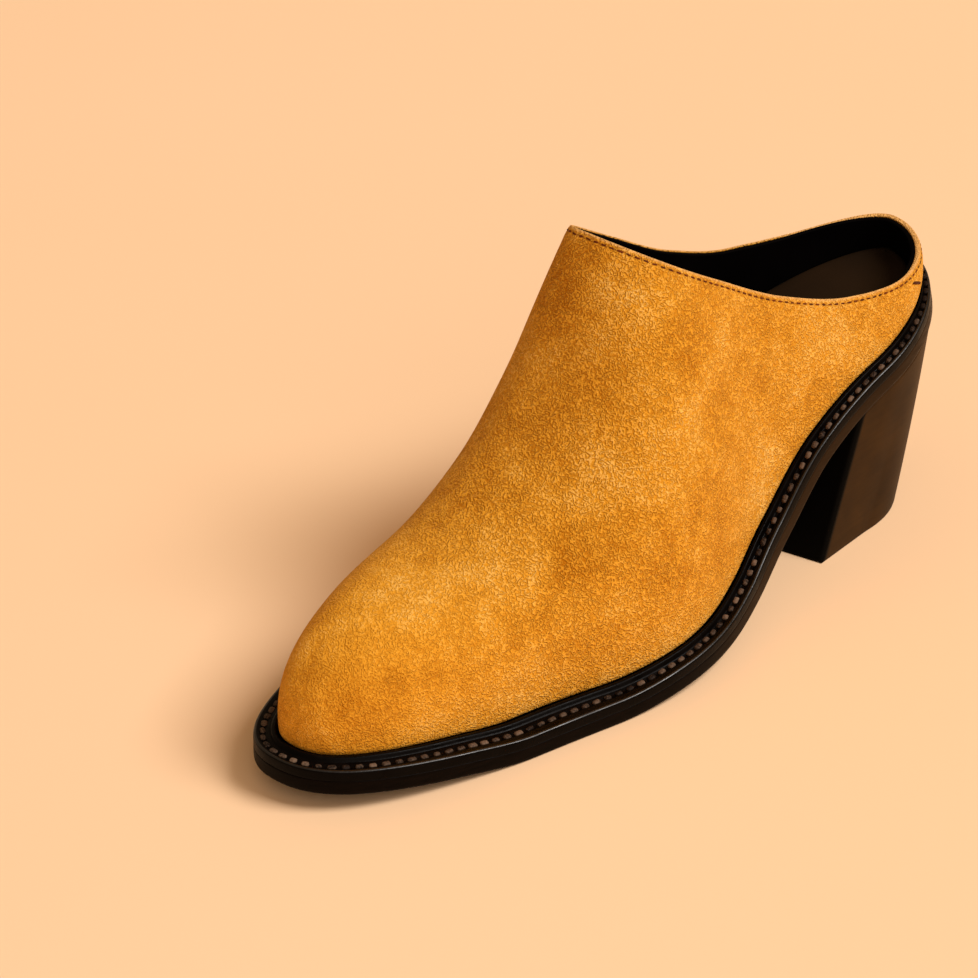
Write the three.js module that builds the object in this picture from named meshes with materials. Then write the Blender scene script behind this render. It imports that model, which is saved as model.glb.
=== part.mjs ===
// Backless heeled mule in suede, the left shoe of a pair, for a foot about 240 mm long.
// Millimetres. The toe points to -Y, the outer side of the foot to +X, up is +Z, floor at z = 0.
// A station s is a distance along the shoe: 0 at the toe tip, LENGTH at the back of the heel.
import * as THREE from 'three';

const LENGTH = 240;          // outsole, toe to back
const OUTSOLE_THICK = 4;     // outsole alone
const WELT_TOP = 6.8;        // upper face of the welt over the underside of the outsole
const RIB_RISE = 1.2;        // raised rib of the welt beside the suede
const INSOLE_TOP = 8;        // upper face of the insole over the underside of the outsole
const SOLE_BEVEL = 0.6;      // rounding of the lower edge of the outsole
const SEAM = 0.3;            // gap where two curved pieces meet
const WALL = 2;              // suede and lining together

const TOE_REACH = 58;        // length of the rounded toe, along the shoe
const TOE_SQUARE = 2.3;      // 2 is an ellipse, larger is squarer
const BACK_REACH = 42.5;     // length of the rounded back
const BACK_SQUARE = 1.84;
const TOE_STEPS = 14;
const FORE_STEPS = 7;        // rows between the toe and the peak
const AFT_STEPS = 13;        // rows behind the peak, closer together near it
const BACK_STEPS = 11;

const PEAK = 121;            // station where the topline crosses the instep
const TOE_POLE = 40;         // the ribs of the toe gather on the ridge about here
const BACK_POLE = 197.5;     // and those of the back about here
const GATHER = 20;           // softness of both gatherings
const ROWS = 14;             // steps up the side of the upper
const COLLAR_LIFT = -0.4;    // topline change per 30 mm toward the outer side

const HEEL_OUTER = 31;       // half widths of the heel block on the floor, at the breast
const HEEL_INNER = 26.5;
const HEEL_ROUND = 190.5;    // station where its straight sides turn into the round back
const HEEL_TAPER = 0.95;     // share of the width left there
const HEEL_BACK = 219;       // station of the back of the heel on the floor
const BREAST_LOW = 170;      // station of the outer breast corner on the floor
const BREAST_HIGH = 185.5;   // and under the outsole
const BREAST_TURN = 10.5;    // degrees, the inner corner lies further forward
const HEEL_SWELL = 0.9;      // how far the back bows out at half height
const HEEL_INSET = 0.5;      // block edge inside the outsole edge

// Half widths of the sole to the outer and the inner side of its axis
const PLAN = [
  { s: 0, outer: 30, inner: 24.5 },
  { s: 25, outer: 31.6, inner: 27.5 },
  { s: 50, outer: 35.3, inner: 34 },
  { s: 75, outer: 40.8, inner: 37.5 },
  { s: 100, outer: 45.2, inner: 37.2 },
  { s: 125, outer: 41.9, inner: 33.5 },
  { s: 150, outer: 34.5, inner: 30.6 },
  { s: 175, outer: 31.9, inner: 29.4 },
  { s: 200, outer: 31.6, inner: 25.6 },
  { s: 240, outer: 32, inner: 20 },
];

// Underside of the outsole: toe spring, flat tread, arch and heel seat
const UNDERSIDE = [
  { s: 0, z: 5.4 },
  { s: 14, z: 4.3 },
  { s: 34, z: 2.2 },
  { s: 54, z: 0 },
  { s: 78, z: 0 },
  { s: 100, z: 2 },
  { s: 118, z: 3.8 },
  { s: 136, z: 8.1 },
  { s: 154, z: 17.9 },
  { s: 172, z: 32 },
  { s: 190, z: 40.4 },
  { s: 210, z: 46 },
  { s: 240, z: 53.1 },
];

// Width of welt that shows beside the upper
const MARGIN = [
  { s: 0, width: 6 },
  { s: 60, width: 8.6 },
  { s: 110, width: 5.9 },
  { s: 170, width: 4.9 },
  { s: 205, width: 4.1 },
  { s: 225, width: 2.8 },
  { s: 240, width: 1.8 },
];

// Ridge of the last in side view
const CREST = [
  { s: 0, z: 36.6 },
  { s: 40, z: 42.8 },
  { s: 60, z: 44.6 },
  { s: 80, z: 52.8 },
  { s: 100, z: 71.6 },
  { s: 120, z: 103 },
  { s: 140, z: 122 },
  { s: 170, z: 120 },
  { s: 240, z: 113.5 },
];

// Ridge of the last in plan, leaning to the inner side
const RIDGE = [
  { s: 0, x: -2.5 },
  { s: 50, x: -4.2 },
  { s: 100, x: -8.3 },
  { s: 140, x: -10 },
  { s: 190, x: -5.2 },
  { s: 240, x: 0 },
];

// Fullness of a rib: across in plan, and upward
const FULLNESS = [
  { s: 0, across: 2.17, up: 3.2 },
  { s: 50, across: 2.03, up: 3 },
  { s: 90, across: 1.94, up: 2.4 },
  { s: 130, across: 1.88, up: 1.8 },
  { s: 180, across: 1.87, up: 1.2 },
  { s: 190, across: 1.9, up: 1.25 },
  { s: 195.5, across: 2.05, up: 1.65 },
  { s: 240, across: 2.05, up: 1.65 },
];

// Height of the topline behind its peak, at equal steps from the peak to the back
const TOPLINE = [90.3, 77.3, 69.4, 66.8, 68.4];

// Curve through the rows of a table that never swings past them
function steady(table, key) {
  const n = table.length;
  const at = table.map((row) => row.s);
  const value = table.map((row) => row[key]);
  const gap = [];
  const rise = [];
  for (let i = 0; i + 1 < n; i += 1) {
    gap.push(at[i + 1] - at[i]);
    rise.push((value[i + 1] - value[i]) / gap[i]);
  }
  const slope = value.map((v, i) => {
    if (i === 0) return rise[0];
    if (i === n - 1) return rise[n - 2];
    if (rise[i - 1] * rise[i] <= 0) return 0;
    const before = 2 * gap[i] + gap[i - 1];
    const after = gap[i] + 2 * gap[i - 1];
    return (before + after) / (before / rise[i - 1] + after / rise[i]);
  });
  return (s, wantSlope = false) => {
    let i = 0;
    while (i < n - 2 && s >= at[i + 1]) i += 1;
    const h = gap[i];
    const t = (s - at[i]) / h;
    if (wantSlope) {
      return (6 * t * t - 6 * t) * (value[i] - value[i + 1]) / h
        + (3 * t * t - 4 * t + 1) * slope[i] + (3 * t * t - 2 * t) * slope[i + 1];
    }
    return (2 * t ** 3 - 3 * t * t + 1) * value[i] + (t ** 3 - 2 * t * t + t) * h * slope[i]
      + (3 * t * t - 2 * t ** 3) * value[i + 1] + (t ** 3 - t * t) * h * slope[i + 1];
  };
}

// Natural cubic curve through the rows of a table, bends solved by sweeping the rows once
function flowing(table, key) {
  const n = table.length;
  const at = table.map((row) => row.s);
  const value = table.map((row) => row[key]);
  const bend = new Array(n).fill(0);
  const sweep = new Array(n).fill(0);
  for (let i = 1; i < n - 1; i += 1) {
    const h0 = at[i] - at[i - 1];
    const h1 = at[i + 1] - at[i];
    const pull = 6 * ((value[i + 1] - value[i]) / h1 - (value[i] - value[i - 1]) / h0);
    const pivot = 2 * (h0 + h1) - h0 * sweep[i - 1];
    sweep[i] = h1 / pivot;
    bend[i] = (pull - h0 * bend[i - 1]) / pivot;
  }
  for (let i = n - 2; i > 0; i -= 1) bend[i] -= sweep[i] * bend[i + 1];
  return (s) => {
    let i = 0;
    while (i < n - 2 && s >= at[i + 1]) i += 1;
    const h = at[i + 1] - at[i];
    const a = at[i + 1] - s;
    const b = s - at[i];
    return (bend[i] * a ** 3 + bend[i + 1] * b ** 3) / (6 * h)
      + (value[i] / h - bend[i] * h / 6) * a + (value[i + 1] / h - bend[i + 1] * h / 6) * b;
  };
}

const halfOuter = flowing(PLAN, 'outer');
const halfInner = flowing(PLAN, 'inner');
const underside = steady(UNDERSIDE, 'z');
const margin = steady(MARGIN, 'width');
const crest = flowing(CREST, 'z');
const ridgeShift = steady(RIDGE, 'x');
const fullAcross = steady(FULLNESS, 'across');
const fullUp = steady(FULLNESS, 'up');
const toplineRows = [crest(PEAK), ...TOPLINE].map((z, i) => (
  { s: PEAK + (LENGTH - 4 - PEAK) * i / TOPLINE.length, z }
));
const topline = steady(toplineRows, 'z');

function softMax(a, b, soft) {
  return 0.5 * (a + b + Math.hypot(a - b, soft));
}

// Stations from the toe tip to the back with the share of the full width kept at each
function stations() {
  const list = [];
  for (let i = 0; i <= TOE_STEPS; i += 1) {
    const turn = Math.PI / 2 * i / TOE_STEPS;
    const along = TOE_REACH * (1 - Math.max(0, Math.cos(turn)) ** (2 / TOE_SQUARE));
    list.push({ s: along, share: Math.sin(turn) ** (2 / TOE_SQUARE) });
  }
  for (let i = 1; i <= FORE_STEPS; i += 1) {
    list.push({ s: TOE_REACH + (PEAK - TOE_REACH) * i / FORE_STEPS, share: 1 });
  }
  const peakRow = list.length - 1;
  const aft = LENGTH - BACK_REACH - PEAK;
  for (let i = 1; i < AFT_STEPS; i += 1) {
    const t = i / AFT_STEPS;
    list.push({ s: PEAK + aft * (0.03 * t + 0.97 * t * t), share: 1 });
  }
  for (let i = BACK_STEPS; i >= 0; i -= 1) {
    const turn = Math.PI / 2 * i / BACK_STEPS;
    const along = BACK_REACH * Math.max(0, Math.cos(turn)) ** (2 / BACK_SQUARE);
    list.push({ s: LENGTH - BACK_REACH + along, share: Math.sin(turn) ** (2 / BACK_SQUARE) });
  }
  return { list, peakRow };
}

const { list: rowsAlong, peakRow } = stations();
const LAST_ROW = rowsAlong.length - 1;

// Closed edge of the sole in plan: up the outer side, back along the inner side
function planEdge() {
  const outer = rowsAlong.map((row, i) => (
    { row: i, x: halfOuter(row.s) * row.share, s: row.s }
  ));
  const inner = rowsAlong.map((row, i) => (
    { row: i, x: -halfInner(row.s) * row.share, s: row.s }
  ));
  const loop = outer.concat(inner.slice(1, LAST_ROW).reverse());
  return loop.map((p, i) => {
    const next = loop[(i + 1) % loop.length];
    const past = loop[(i + loop.length - 1) % loop.length];
    const run = Math.hypot(next.x - past.x, next.s - past.s);
    return { ...p, inX: -(next.s - past.s) / run, inS: (next.x - past.x) / run };
  });
}

const edge = planEdge();
const COUNT = edge.length;
const mirrorOf = (i) => (COUNT - i) % COUNT;

// Point over the underside of the sole, raised square to it
function raised(x, s, height) {
  const held = Math.min(LENGTH, Math.max(0, s));
  const tilt = Math.atan(underside(held, true));
  return [x, s - height * Math.sin(tilt), underside(held) + height * Math.cos(tilt)];
}

// Point of the sole edge moved inward in plan and raised
function onSole(i, inset, height) {
  const p = edge[i];
  return raised(p.x + p.inX * inset, p.s + p.inS * inset, height);
}

const weltWidth = (i) => margin(edge[i].s);

const bodies = [];

// Keep a closed body; its faces are turned outward if its volume comes out negative
function keep(name, colour, points, faces) {
  let volume = 0;
  faces.forEach(([a, b, c]) => {
    const [p, q, r] = [points[a], points[b], points[c]];
    volume += p[0] * (q[1] * r[2] - q[2] * r[1])
      + p[1] * (q[2] * r[0] - q[0] * r[2])
      + p[2] * (q[0] * r[1] - q[1] * r[0]);
  });
  const turned = volume < 0 ? faces.map(([a, b, c]) => [a, c, b]) : faces;
  bodies.push({ name, colour, points, faces: turned });
}

// Two triangles over four corners, split along the shorter diagonal
function patch(points, faces, a, b, c, d) {
  const far = (p, q) => Math.hypot(
    points[p][0] - points[q][0],
    points[p][1] - points[q][1],
    points[p][2] - points[q][2],
  );
  if (far(a, c) <= far(b, d)) faces.push([a, b, c], [a, c, d]);
  else faces.push([a, b, d], [b, c, d]);
}

// Close one face of a slab with strips from the outer side to the inner side
function capStrips(points, faces, ring, flip) {
  for (let i = 0; i < LAST_ROW; i += 1) {
    const [a, b] = [ring + i, ring + i + 1];
    const [c, d] = [ring + mirrorOf(i + 1), ring + mirrorOf(i)];
    const strip = [];
    if (i === 0) strip.push([a, b, c]);
    else if (i === LAST_ROW - 1) strip.push([a, b, d]);
    else patch(points, strip, a, b, c, d);
    strip.forEach(([p, q, r]) => faces.push(flip ? [p, r, q] : [p, q, r]));
  }
}

// Slab with the plan of the sole, through rings of inset and height from below to above
function slab(name, colour, rings) {
  const points = [];
  const faces = [];
  rings.forEach((ring) => {
    for (let i = 0; i < COUNT; i += 1) points.push(onSole(i, ring.inset(i), ring.height));
  });
  for (let r = 0; r + 1 < rings.length; r += 1) {
    for (let i = 0; i < COUNT; i += 1) {
      const j = (i + 1) % COUNT;
      patch(points, faces, r * COUNT + i, r * COUNT + j, (r + 1) * COUNT + j, (r + 1) * COUNT + i);
    }
  }
  capStrips(points, faces, 0, true);
  capStrips(points, faces, (rings.length - 1) * COUNT, false);
  keep(name, colour, points, faces);
}

// Closed section carried round the edge of the sole
function band(name, colour, section) {
  const points = [];
  const faces = [];
  const turns = section.length;
  for (let i = 0; i < COUNT; i += 1) {
    section.forEach((corner) => points.push(onSole(i, corner.inset(i), corner.height)));
  }
  for (let i = 0; i < COUNT; i += 1) {
    const j = (i + 1) % COUNT;
    for (let k = 0; k < turns; k += 1) {
      const m = (k + 1) % turns;
      patch(points, faces, i * turns + k, j * turns + k, j * turns + m, i * turns + m);
    }
  }
  keep(name, colour, points, faces);
}

// Outsole with a softened lower edge
slab('outsole', 0x2a1a12, [
  { inset: () => SOLE_BEVEL, height: 0 },
  { inset: () => 0.25 * SOLE_BEVEL, height: 0.35 * SOLE_BEVEL },
  { inset: () => 0, height: 1.1 * SOLE_BEVEL },
  { inset: () => 0, height: OUTSOLE_THICK },
]);

// Welt: flat outer band, stitch channel, raised rib, then the flange under the upper
band('welt', 0x17110e, [
  { inset: () => 0, height: OUTSOLE_THICK + SEAM },
  { inset: () => 0, height: WELT_TOP - 0.4 },
  { inset: () => 0.4, height: WELT_TOP },
  { inset: (i) => 0.58 * weltWidth(i), height: WELT_TOP },
  { inset: (i) => 0.62 * weltWidth(i), height: WELT_TOP + 0.75 * RIB_RISE },
  { inset: (i) => 0.7 * weltWidth(i), height: WELT_TOP + RIB_RISE },
  { inset: (i) => 0.82 * weltWidth(i), height: WELT_TOP + RIB_RISE },
  { inset: (i) => 0.9 * weltWidth(i) - 0.05, height: WELT_TOP + 0.5 * RIB_RISE },
  { inset: (i) => 0.9 * weltWidth(i) - 0.05, height: WELT_TOP },
  { inset: (i) => weltWidth(i) + WALL - 0.1, height: WELT_TOP },
  { inset: (i) => weltWidth(i) + WALL - 0.1, height: OUTSOLE_THICK + SEAM },
]);

// Insole inside the upper, its top edge softened
slab('insole', 0x24211f, [
  { inset: (i) => weltWidth(i) + WALL + SEAM, height: OUTSOLE_THICK + SEAM },
  { inset: (i) => weltWidth(i) + WALL + SEAM, height: INSOLE_TOP - 0.6 },
  { inset: (i) => weltWidth(i) + WALL + SEAM + 0.8, height: INSOLE_TOP },
]);

// Station on the ridge that the rib from station s runs to
function gathered(s) {
  const fore = softMax(s, TOE_POLE, GATHER);
  return -softMax(-fore, -BACK_POLE, GATHER);
}

// Point of the upper: turn 0 on the ridge, a quarter turn at the feather line
function ribPoint(i, turn) {
  const foot = onSole(i, weltWidth(i), WELT_TOP + SEAM);
  const head = gathered(edge[i].s);
  const across = Math.sin(turn) ** (2 / fullAcross(head));
  const up = Math.max(0, Math.cos(turn)) ** (2 / fullUp(head));
  const x = ridgeShift(head) + (foot[0] - ridgeShift(head)) * across;
  const s = head + (foot[1] - head) * across;
  return [x, s, foot[2] + (crest(s) - foot[2]) * up];
}

// Turn at which a rib behind the peak meets the topline
function collarTurn(i) {
  const over = (turn) => {
    const [x, s, z] = ribPoint(i, turn);
    return z - topline(Math.max(PEAK, Math.min(LENGTH - 4, s))) - COLLAR_LIFT * x / 30;
  };
  let low = Math.PI / 2;
  let high = Math.PI / 2;
  while (high > 0 && over(high) < 0) {
    low = high;
    high -= 0.03;
  }
  for (let k = 0; k < 30; k += 1) {
    const middle = 0.5 * (low + high);
    if (over(middle) < 0) low = middle;
    else high = middle;
  }
  return 0.5 * (low + high);
}

// Hollow upper: open along the collar behind the peak and underneath over the insole
function upper() {
  const closed = (i) => edge[i].row <= peakRow;
  const shared = (i) => closed(i) && i > LAST_ROW;
  const outer = [];
  const id = [];
  for (let i = 0; i < COUNT; i += 1) {
    const top = closed(i) ? 0 : collarTurn(i);
    id.push([]);
    for (let j = 0; j <= ROWS; j += 1) {
      if (j === ROWS && shared(i)) {
        id[i].push(id[mirrorOf(i)][ROWS]);
      } else {
        id[i].push(outer.length);
        outer.push(ribPoint(i, top + (Math.PI / 2 - top) * (1 - j / ROWS)));
      }
    }
  }
  const skin = [];
  for (let i = 0; i < COUNT; i += 1) {
    const n = (i + 1) % COUNT;
    for (let j = 0; j < ROWS; j += 1) {
      patch(outer, skin, id[i][j], id[n][j], id[n][j + 1], id[i][j + 1]);
    }
  }
  // Outward direction at each point from the faces round it
  const out = outer.map(() => new THREE.Vector3());
  skin.forEach((face) => {
    const [a, b, c] = face.map((k) => new THREE.Vector3(...outer[k]));
    const normal = b.sub(a).cross(c.sub(a));
    face.forEach((k) => out[k].add(normal));
  });
  const sign = out[id[10][5]].x > 0 ? 1 : -1;
  const lining = outer.map((p, k) => {
    const n = out[k].normalize().multiplyScalar(sign * WALL);
    return [p[0] - n.x, p[1] - n.y, p[2] - n.z];
  });
  for (let i = 0; i < COUNT; i += 1) {
    lining[id[i][0]] = onSole(i, weltWidth(i) + WALL, WELT_TOP + SEAM);
  }
  const total = outer.length;
  const points = outer.concat(lining);
  const faces = skin.concat(skin.map(([a, b, c]) => [a + total, c + total, b + total]));
  for (let i = 0; i < COUNT; i += 1) {
    const n = (i + 1) % COUNT;
    const [a, b] = [id[i][0], id[n][0]];
    patch(points, faces, b, a, a + total, b + total);
    if (closed(i) && closed(n)) continue;
    const [c, d] = [id[i][ROWS], id[n][ROWS]];
    patch(points, faces, c, d, d + total, c + total);
  }
  keep('upper', 0xc07f2c, points, faces);
}

upper();

// Length of an open path up to each of its corners
function lengths(path) {
  const run = [0];
  for (let i = 1; i < path.length; i += 1) {
    const step = Math.hypot(path[i][0] - path[i - 1][0], path[i][1] - path[i - 1][1]);
    run.push(run[i - 1] + step);
  }
  return run;
}

// Point at a share of the length of a path
function pointAt(path, run, share) {
  const goal = share * run[run.length - 1];
  let i = 1;
  while (i < run.length - 1 && run[i] < goal) i += 1;
  const t = (goal - run[i - 1]) / (run[i] - run[i - 1]);
  return [0, 1].map((k) => path[i - 1][k] + (path[i][k] - path[i - 1][k]) * t);
}

// Edge of the heel seat: outer breast corner, round the back, inner breast corner
function seatPath(turn) {
  const outerX = halfOuter(BREAST_HIGH) - HEEL_INSET;
  const innerS = BREAST_HIGH - (outerX + halfInner(BREAST_HIGH)) * turn;
  const path = [[outerX, BREAST_HIGH]];
  edge.forEach((p, i) => {
    const front = i <= LAST_ROW ? BREAST_HIGH : innerS;
    if (p.s > front + 2) path.push([p.x + p.inX * HEEL_INSET, p.s + p.inS * HEEL_INSET]);
  });
  path.push([HEEL_INSET - halfInner(innerS), innerS]);
  return path;
}

// The same edge on the floor: straight sides, then a round back
function floorPath(turn) {
  const path = [[HEEL_OUTER, BREAST_LOW]];
  const steps = 48;
  for (let k = 0; k <= steps; k += 1) {
    const angle = Math.PI * k / steps;
    const side = Math.sign(Math.cos(angle)) * Math.abs(Math.cos(angle)) ** 0.85;
    const half = side > 0 ? HEEL_OUTER : HEEL_INNER;
    const back = Math.sin(angle) ** 0.85;
    path.push([HEEL_TAPER * half * side, HEEL_ROUND + (HEEL_BACK - HEEL_ROUND) * back]);
  }
  path.push([-HEEL_INNER, BREAST_LOW - (HEEL_OUTER + HEEL_INNER) * turn]);
  return path;
}

// Heel block between the floor and the underside of the outsole
function heelBlock() {
  const turn = Math.tan(BREAST_TURN * Math.PI / 180);
  const high = seatPath(turn);
  const low = floorPath(turn);
  const highRun = lengths(high);
  const lowRun = lengths(low);
  const last = high.length - 1;
  const ring = high.length;
  const levels = 6;
  const points = [];
  const faces = [];
  for (let v = 0; v <= levels; v += 1) {
    const t = v / levels;
    high.forEach(([x, s], k) => {
      const share = highRun[k] / highRun[last];
      const top = raised(x, s, -SEAM);
      const foot = pointAt(low, lowRun, share);
      const bow = 4 * t * (1 - t) * HEEL_SWELL * Math.sin(Math.PI * share);
      points.push([
        foot[0] + (top[0] - foot[0]) * t,
        foot[1] + (top[1] - foot[1]) * t + bow,
        top[2] * t,
      ]);
    });
  }
  for (let v = 0; v < levels; v += 1) {
    for (let k = 0; k < ring; k += 1) {
      const n = (k + 1) % ring;
      patch(points, faces, v * ring + k, v * ring + n, (v + 1) * ring + n, (v + 1) * ring + k);
    }
  }
  // Floor face and seat face, in strips across the heel
  [0, levels * ring].forEach((base, upside) => {
    for (let k = 0; k < Math.floor(last / 2); k += 1) {
      const [a, b, c, d] = [base + k, base + k + 1, base + last - k - 1, base + last - k];
      const strip = [];
      if (b === c) strip.push([a, b, d]);
      else patch(points, strip, a, b, c, d);
      strip.forEach(([p, q, r]) => faces.push(upside ? [p, q, r] : [p, r, q]));
    }
  });
  keep('heel', 0x1f1510, points, faces);
}

heelBlock();

// Centre the shoe on its box in plan and hand over one mesh per piece
function shoe() {
  const group = new THREE.Group();
  group.name = 'heeled_mule_left';
  const all = bodies.flatMap((body) => body.points);
  const middle = (axis) => {
    const values = all.map((p) => p[axis]);
    return 0.5 * (Math.max(...values) + Math.min(...values));
  };
  const [cx, cy] = [middle(0), middle(1)];
  bodies.forEach(({ name, colour, points, faces }) => {
    const geometry = new THREE.BufferGeometry();
    const flat = points.flatMap((p) => [p[0] - cx, p[1] - cy, p[2]]);
    geometry.setAttribute('position', new THREE.Float32BufferAttribute(flat, 3));
    geometry.setIndex(faces.flat());
    geometry.computeVertexNormals();
    const material = new THREE.MeshStandardMaterial({ color: colour, roughness: 0.8 });
    const mesh = new THREE.Mesh(geometry, material);
    mesh.name = name;
    group.add(mesh);
  });
  return group;
}

export default shoe();
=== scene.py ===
"""Looks of a backless heeled mule in suede, the left shoe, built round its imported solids.

Shapes are worked out in millimetres in the shoe's own terms and turned to metres in the mesh.
A station s is a distance along the shoe: 0 at the toe tip, LENGTH at the back of the heel.
x is the distance to the outer side of the foot, z the height over the floor.
"""
import math

import bpy
import numpy as np
from mathutils import Matrix, Vector


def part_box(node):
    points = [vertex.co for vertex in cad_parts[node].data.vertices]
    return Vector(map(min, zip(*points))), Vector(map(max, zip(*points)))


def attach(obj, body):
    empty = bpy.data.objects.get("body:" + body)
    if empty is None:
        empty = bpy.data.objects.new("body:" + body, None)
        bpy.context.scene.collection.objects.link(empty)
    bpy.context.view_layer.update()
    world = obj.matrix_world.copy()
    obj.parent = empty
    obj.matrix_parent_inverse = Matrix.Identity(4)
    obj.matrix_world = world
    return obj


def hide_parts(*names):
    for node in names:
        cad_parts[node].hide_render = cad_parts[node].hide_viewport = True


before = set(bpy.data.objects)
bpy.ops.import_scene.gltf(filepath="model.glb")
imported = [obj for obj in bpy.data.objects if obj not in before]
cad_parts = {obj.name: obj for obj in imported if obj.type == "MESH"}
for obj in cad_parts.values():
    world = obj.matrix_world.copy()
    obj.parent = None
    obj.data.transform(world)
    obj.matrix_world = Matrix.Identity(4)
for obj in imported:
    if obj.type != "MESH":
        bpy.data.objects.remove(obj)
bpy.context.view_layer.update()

# Sizes of the shoe, the same as in the solids
LENGTH = 240.0
OUTSOLE_THICK = 4.0
WELT_TOP = 6.8
RIB_RISE = 1.2
INSOLE_TOP = 8.0
SEAM = 0.3
WALL = 2.0
TOE_REACH, TOE_SQUARE = 58.0, 2.3
BACK_REACH, BACK_SQUARE = 42.5, 1.84
PEAK = 121.0
TOE_POLE, BACK_POLE, GATHER = 40.0, 197.5, 20.0
COLLAR_LIFT = -0.4
HEEL_OUTER, HEEL_INNER = 31.0, 26.5
HEEL_ROUND, HEEL_TAPER, HEEL_BACK = 190.5, 0.95, 219.0
BREAST_LOW, BREAST_HIGH, BREAST_TURN = 170.0, 185.5, math.radians(10.5)
HEEL_SWELL, HEEL_INSET = 0.9, 0.5

# Half widths of the sole to the outer and the inner side of its axis
PLAN = {
    "s": [0, 25, 50, 75, 100, 125, 150, 175, 200, 240],
    "outer": [30, 31.6, 35.3, 40.8, 45.2, 41.9, 34.5, 31.9, 31.6, 32],
    "inner": [24.5, 27.5, 34, 37.5, 37.2, 33.5, 30.6, 29.4, 25.6, 20],
}
# Underside of the outsole: toe spring, flat tread, arch and heel seat
UNDERSIDE = {
    "s": [0, 14, 34, 54, 78, 100, 118, 136, 154, 172, 190, 210, 240],
    "z": [5.4, 4.3, 2.2, 0, 0, 2, 3.8, 8.1, 17.9, 32, 40.4, 46, 53.1],
}
# Width of welt beside the upper
MARGIN = {"s": [0, 60, 110, 170, 205, 225, 240], "width": [6, 8.6, 5.9, 4.9, 4.1, 2.8, 1.8]}
# Ridge of the last in side view, and in plan
CREST = {
    "s": [0, 40, 60, 80, 100, 120, 140, 170, 240],
    "z": [36.6, 42.8, 44.6, 52.8, 71.6, 103, 122, 120, 113.5],
}
RIDGE = {"s": [0, 50, 100, 140, 190, 240], "x": [-2.5, -4.2, -8.3, -10, -5.2, 0]}
# Fullness of a rib of the upper: across in plan, and upward
FULLNESS = {
    "s": [0, 50, 90, 130, 180, 190, 195.5, 240],
    "across": [2.17, 2.03, 1.94, 1.88, 1.87, 1.9, 2.05, 2.05],
    "up": [3.2, 3, 2.4, 1.8, 1.2, 1.25, 1.65, 1.65],
}
# Height of the topline behind its peak, at equal steps from the peak to the back
TOPLINE = [90.3, 77.3, 69.4, 66.8, 68.4]


def steady(table, key):
    """Curve through a table's rows that never swings past them: cubic pieces whose slope at a row
    is the weighted harmonic mean of the rises beside it, and zero where the rises turn."""
    at, value = np.array(table["s"], float), np.array(table[key], float)
    gap = np.diff(at)
    rise = np.diff(value) / gap
    before, after = 2 * gap[1:] + gap[:-1], gap[1:] + 2 * gap[:-1]
    same = rise[1:] * rise[:-1] > 0
    safe = np.where(same, rise[1:], 1.0), np.where(same, rise[:-1], 1.0)
    inner = np.where(same, (before + after) / (before / safe[1] + after / safe[0]), 0.0)
    slope = np.concatenate([rise[:1], inner, rise[-1:]])

    def curve(s, want_slope=False):
        s = np.asarray(s, float)
        i = np.clip(np.searchsorted(at, s, side="right") - 1, 0, len(gap) - 1)
        h = gap[i]
        t = (s - at[i]) / h
        if want_slope:
            return ((6 * t * t - 6 * t) * (value[i] - value[i + 1]) / h
                    + (3 * t * t - 4 * t + 1) * slope[i] + (3 * t * t - 2 * t) * slope[i + 1])
        return ((2 * t**3 - 3 * t * t + 1) * value[i] + (t**3 - 2 * t * t + t) * h * slope[i]
                + (3 * t * t - 2 * t**3) * value[i + 1] + (t**3 - t * t) * h * slope[i + 1])

    return curve


def flowing(table, key):
    """Natural cubic curve through a table's rows: its bends at the rows solve the usual
    three-term equations, with no bend at either end."""
    at, value = np.array(table["s"], float), np.array(table[key], float)
    gap = np.diff(at)
    n = len(at)
    system = np.eye(n)
    pull = np.zeros(n)
    for i in range(1, n - 1):
        system[i, i - 1 : i + 2] = gap[i - 1], 2 * (gap[i - 1] + gap[i]), gap[i]
        pull[i] = 6 * ((value[i + 1] - value[i]) / gap[i] - (value[i] - value[i - 1]) / gap[i - 1])
    bend = np.linalg.solve(system, pull)

    def curve(s):
        s = np.asarray(s, float)
        i = np.clip(np.searchsorted(at, s, side="right") - 1, 0, n - 2)
        h, a, b = gap[i], at[i + 1] - s, s - at[i]
        return ((bend[i] * a**3 + bend[i + 1] * b**3) / (6 * h)
                + (value[i] / h - bend[i] * h / 6) * a
                + (value[i + 1] / h - bend[i + 1] * h / 6) * b)

    return curve


half_outer, half_inner = flowing(PLAN, "outer"), flowing(PLAN, "inner")
underside = steady(UNDERSIDE, "z")
margin = steady(MARGIN, "width")
crest = flowing(CREST, "z")
ridge_shift = steady(RIDGE, "x")
full_across, full_up = steady(FULLNESS, "across"), steady(FULLNESS, "up")
TOPLINE_ROWS = {
    "s": PEAK + (LENGTH - 4 - PEAK) * np.arange(6) / 5,
    "z": [float(crest(PEAK)), *TOPLINE],
}
topline = steady(TOPLINE_ROWS, "z")


def soft_max(a, b, soft):
    """The larger of two numbers, with the change from one to the other rounded over soft."""
    return 0.5 * (a + b + np.hypot(a - b, soft))


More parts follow.
